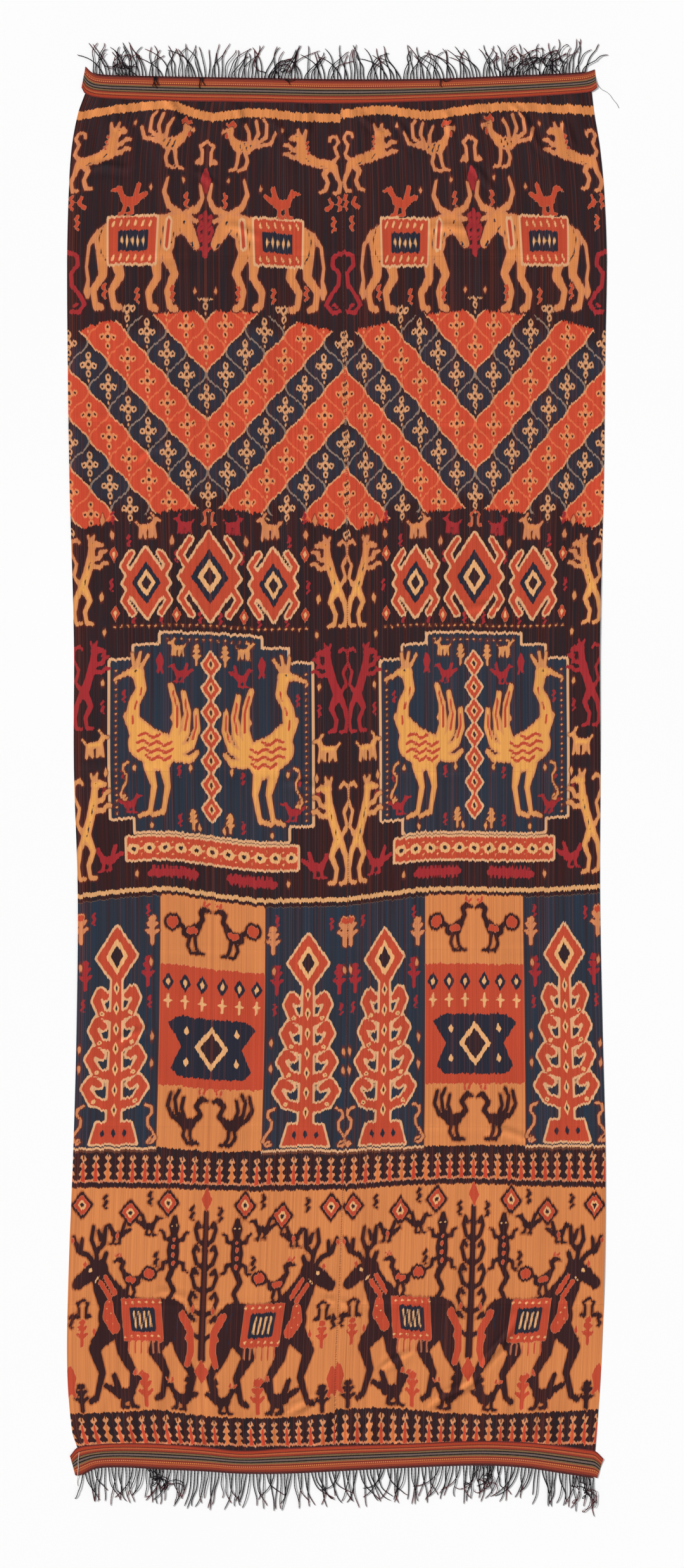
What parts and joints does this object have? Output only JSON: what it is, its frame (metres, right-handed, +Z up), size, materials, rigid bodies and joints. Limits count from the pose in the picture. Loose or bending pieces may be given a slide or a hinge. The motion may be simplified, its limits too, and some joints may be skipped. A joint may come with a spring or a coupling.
{
  "type": "ikat woven cloth",
  "caption": "Long flat warp-ikat wrap of two loom widths joined side by side, with a striped woven band and a twisted fringe at each end.",
  "frame": {"origin": "middle of the cloth's outline, fringes included, on the surface it lies on", "axes": "+X across the loom widths to the right of the picture, +Y along the warp to the top of the picture, +Z up from the cloth's face"},
  "size_m": [1.1164, 3.0334, 0.0056],
  "materials": {
    "ikat_cotton": "matt warp-faced cotton, warp ikat in dark brown, indigo, rust red and ochre",
    "striped_band": "matt ribbed cotton band in narrow rust, ochre, grey and dark stripes",
    "fringe_yarn": "matt twisted two-ply cotton, near-black with dull red tips"
  },
  "bodies": {
    "root": {"left_loom_width": "ikat_cotton", "right_loom_width": "ikat_cotton", "top_band": "striped_band", "bottom_band": "striped_band", "top_fringe": "fringe_yarn", "bottom_fringe": "fringe_yarn"}
  },
  "joints": []
}
